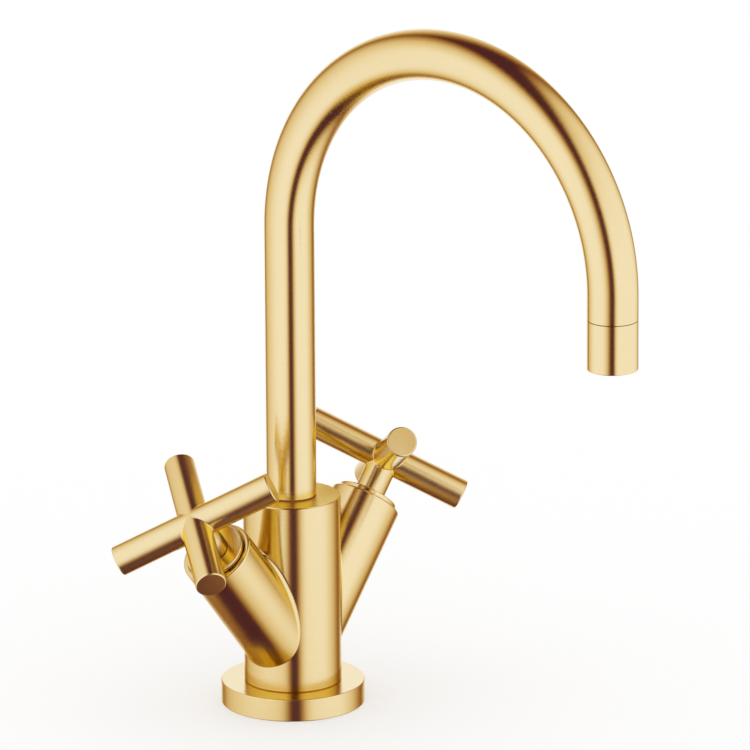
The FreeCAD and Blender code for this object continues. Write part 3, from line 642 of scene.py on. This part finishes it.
def along_spout(point):
    """The distance along the tube's middle line, up its leg, round the arch and down to the aerator."""
    if point.z > arch_height:
        turn = math.atan2(point.z - arch_height, point.y + arch_radius)
        return arch_height + arch_radius * turn
    if point.y > -arch_radius:
        return point.z
    return arch_height + arch_radius * math.pi + arch_height - point.z


def on_outer_wall(vert):
    """Whether a point at the tube's foot or at its other end lies on the outer wall."""
    middle = 0 if vert.co.y > -arch_radius else -2 * arch_radius
    return math.hypot(vert.co.x, vert.co.y - middle) > tube_radius - TOUCH


tube = bmesh.new()
for radius in (tube_radius, tube_radius - TUBE_WALL):
    bmesh.ops.create_circle(tube, segments=TUBE_SIDES, radius=radius,
                            matrix=Matrix.Translation((0, 0, tube_low.z)))
foot_edges = tube.edges[:]
leg = extruded(tube, foot_edges, (0, 0, arch_height - tube_low.z))
arch = bmesh.ops.spin(tube, geom=points_of(leg) + leg, angle=math.pi, steps=BEND_STEPS, axis=(1, 0, 0),
                      cent=arch_centre)["geom_last"]
arch_end = [item for item in arch if isinstance(item, bmesh.types.BMEdge)]
drop = extruded(tube, arch_end, (0, 0, -SPOUT_DROP))
for end in (foot_edges, drop):
    bmesh.ops.bridge_loops(tube, edges=end)
bmesh.ops.recalc_face_normals(tube, faces=tube.faces)
rounded(tube, [edge for edge in foot_edges + drop if all(map(on_outer_wall, edge.verts))], TUBE_ROUND)
brushed(tube, along_spout)
finished("swan_neck", tube, satin, "spout", "spout_tube")


# The aerator is a short turned sleeve that screws into the tube's end, over a fine seam. Inside, a moulded
# plastic flow straightener with rings of holes rests on the sleeve's lip.
OUTLET = 0.169
SEAM = 0.189
SEAM_WIDTH = 0.00022
SLEEVE_BORE = 0.0074
SLEEVE_MOUTH = 0.0066
SLEEVE_LIP = 0.0016
SLEEVE_THREAD = 0.00845
THREAD_LENGTH = 0.007
SLEEVE_ROUND = 0.00035
PLASTIC = (0.74, 0.74, 0.72, 1)
PLASTIC_SHADE = (0.62, 0.62, 0.60, 1)

sleeve = turned([
    (SLEEVE_MOUTH, OUTLET),
    (tube_radius, OUTLET),
    (tube_radius, SEAM - SEAM_WIDTH),
    (SLEEVE_THREAD, SEAM - SEAM_WIDTH),
    (SLEEVE_THREAD, SEAM + THREAD_LENGTH),
    (SLEEVE_BORE, SEAM + THREAD_LENGTH),
    (SLEEVE_BORE, OUTLET + SLEEVE_LIP),
    (SLEEVE_MOUTH, OUTLET + SLEEVE_LIP),
])
rounded(sleeve, circles(sleeve, (tube_radius, OUTLET), (SLEEVE_MOUTH, OUTLET)), SLEEVE_ROUND)
rounded(sleeve, circles(sleeve, (tube_radius, SEAM - SEAM_WIDTH)), TUBE_ROUND)
brushed(sleeve, round_axis)
bmesh.ops.translate(sleeve, vec=(0, -2 * arch_radius, 0), verts=sleeve.verts)
finished("aerator", sleeve, satin, "spout", "aerator_sleeve")


def moulded_plastic(wire):
    grain = wire.noise(wire.place(), waves=1200.0, detail=3.0)
    return {
        "Base Color": grain.tint(PLASTIC_SHADE, PLASTIC),
        "Roughness": grain.between(0.35, 0.50),
        "Normal": grain.bump(strength=0.1, depth=0.00005),
    }


dress("aerator_plastic", surface("aerator_plastic", {}, moulded_plastic))


# The mixer stands on a plain white table that runs far back, so that it fills the picture. The table glows
# a little for the camera, which keeps it white and the mixer's shadow soft.
FLOOR_RADIUS = 6.0
FLOOR_SIDES = 96
FLOOR_WHITE = (0.62, 0.62, 0.62, 1)
FLOOR_GLOW = (0.38, 0.38, 0.38, 1)
BLACK = (0, 0, 0, 1)


def staged(name, bm, material):
    """Makes a bmesh part of the studio, not of the mixer."""
    mesh = bpy.data.meshes.new(name)
    bm.to_mesh(mesh)
    bm.free()
    mesh.materials.append(material)
    stand = bpy.data.objects.new(name, mesh)
    bpy.context.scene.collection.objects.link(stand)
    return stand


def table_glow(wire):
    seen = wire.node("ShaderNodeLightPath", output="Is Camera Ray")
    return {"Emission Color": seen.tint(BLACK, FLOOR_GLOW)}


table_white = surface("table_white", {
    "Base Color": FLOOR_WHITE,
    "Roughness": 1.0,
    "Specular IOR Level": 0.0,
    "Emission Strength": 1.0,
}, table_glow)
table = bmesh.new()
bmesh.ops.create_circle(table, cap_ends=True, segments=FLOOR_SIDES, radius=FLOOR_RADIUS)
staged("table", table, table_white).visible_glossy = False


# The studio is a white tent that lights the table evenly. The metal mirrors three large soft boxes, at the
# left, at the right and behind, in a dark amber room. Only mirrored rays meet the boxes and the room.
CAMERA_AZIMUTH = math.radians(-139.43)
WHITE = (1, 1, 1, 1)
ROOM = (0.078, 0.021, 0.030, 1)
CLOTH_EDGE = 0.12
AMBER = [
    (0.0, ROOM),
    (0.20, (0.31, 0.115, 0.028, 1)),
    (0.47, (0.50, 0.31, 0.095, 1)),
    (0.71, (0.76, 0.61, 0.36, 1)),
    (0.86, (0.87, 0.77, 0.56, 1)),
    (1.0, WHITE),
]


def amber(level):
    """The colour of a mirrored light of this level: white, and ever warmer as it fades."""
    return level.node("ShaderNodeValToRGB", {"stops": AMBER}, {0: level})


def fading(name, size, soft, peak):
    """A soft box's light, which fades out towards its borders: left, right, bottom and top."""
    material = bpy.data.materials.new(name)
    material.use_nodes = True
    material.cycles.emission_sampling = "NONE"
    tree = material.node_tree
    tree.nodes.clear()
    start = Wire(tree)
    cloth = start.node("ShaderNodeUVMap", {"uv_map": "cloth"})
    light = peak
    for direction, length, (near, far) in zip("XY", size, soft):
        place = start.node("ShaderNodeSeparateXYZ", inputs={0: cloth}, output=direction)
        for distance, width in ((place * length, near), (length - place * length, far)):
            light = light * start.node("ShaderNodeMapRange", {"interpolation_type": "SMOOTHSTEP"}, {
                "Value": distance, "From Min": 0.0, "From Max": width})
    glow = start.node("ShaderNodeEmission", inputs={"Color": amber(light)})
    clear = start.node("ShaderNodeBsdfTransparent")
    solid = start.node("ShaderNodeMapRange", inputs={"Value": light, "From Max": CLOTH_EDGE})
    cloth_or_clear = start.node("ShaderNodeMixShader", inputs={0: solid, 1: clear, 2: glow})
    start.node("ShaderNodeOutputMaterial", inputs={"Surface": cloth_or_clear})
    return material


def soft_box(name, turn, distance, across, upright, soft, peak):
    """Hangs a soft box that faces the mixer, turned from the camera by so many degrees."""
    heading = CAMERA_AZIMUTH + math.radians(turn)
    size = (across[1] - across[0], upright[1] - upright[0])
    middle = ((across[0] + across[1]) / 2, (upright[0] + upright[1]) / 2, 0)
    bm = bmesh.new()
    bm.loops.layers.uv.new("cloth")
    bmesh.ops.create_grid(bm, x_segments=1, y_segments=1, size=0.5, calc_uvs=True)
    bmesh.ops.scale(bm, vec=(*size, 1), verts=bm.verts)
    bmesh.ops.translate(bm, vec=middle, verts=bm.verts)
    bmesh.ops.rotate(bm, matrix=Matrix.Rotation(QUARTER_TURN, 3, "X"), verts=bm.verts)
    bmesh.ops.rotate(bm, matrix=Matrix.Rotation(heading + QUARTER_TURN, 3, "Z"), verts=bm.verts)
    away = (distance * math.cos(heading), distance * math.sin(heading), 0)
    bmesh.ops.translate(bm, vec=away, verts=bm.verts)
    box = staged(name, bm, fading(name, size, soft, peak))
    box.visible_camera = False
    box.visible_diffuse = False
    box.visible_shadow = False
    box.visible_transmission = False


soft_box("left_box", turn=-82.6, distance=0.20, across=(-0.73, 1.20), upright=(-0.77, 1.127),
         soft=((0.86, 0.90), (0.86, 0.81)), peak=0.985)
soft_box("right_box", turn=84.8, distance=0.276, across=(-1.12, 0.459), upright=(-1.11, 1.462),
         soft=((0.79, 0.52), (1.16, 1.29)), peak=0.985)
soft_box("rear_box", turn=180, distance=0.461, across=(-0.548, 0.452), upright=(-1.133, 1.15),
         soft=((0.494, 0.429), (0.863, 0.946)), peak=1.0)

studio = bpy.data.worlds.new("studio")
studio.use_nodes = True
studio.cycles.sampling_method = "NONE"
sky = Wire(studio.node_tree)
room = sky.node("ShaderNodeLightPath", output="Is Glossy Ray").tint(WHITE, ROOM)
studio.node_tree.links.new(room.socket, studio.node_tree.nodes["Background"].inputs["Color"])
bpy.context.scene.world = studio


# The camera stands far off with a long lens, to the left of the mixer's front. It looks down a little,
# from above the spout, and the lens keeps the upright edges nearly parallel.
CAMERA_PLACE = Vector((-2.5109, -2.1499, 1.1031))
CAMERA_HEADING = math.radians(-50.014)
CAMERA_PITCH = math.radians(-16.304)
CAMERA_ROLL = math.radians(-0.323)
CAMERA_LENS = 413.57
SENSOR_WIDTH = 36.0
FAR_CLIP = 50.0

lens = bpy.data.cameras.new("camera")
lens.lens = CAMERA_LENS
lens.sensor_width = SENSOR_WIDTH
lens.clip_end = FAR_CLIP
camera = bpy.data.objects.new("camera", lens)
aim = Matrix.Rotation(CAMERA_HEADING, 4, "Z") @ Matrix.Rotation(QUARTER_TURN + CAMERA_PITCH, 4, "X")
camera.matrix_world = Matrix.Translation(CAMERA_PLACE) @ aim @ Matrix.Rotation(CAMERA_ROLL, 4, "Z")
bpy.context.scene.collection.objects.link(camera)
bpy.context.scene.camera = camera
bpy.context.scene.view_settings.view_transform = "Standard"
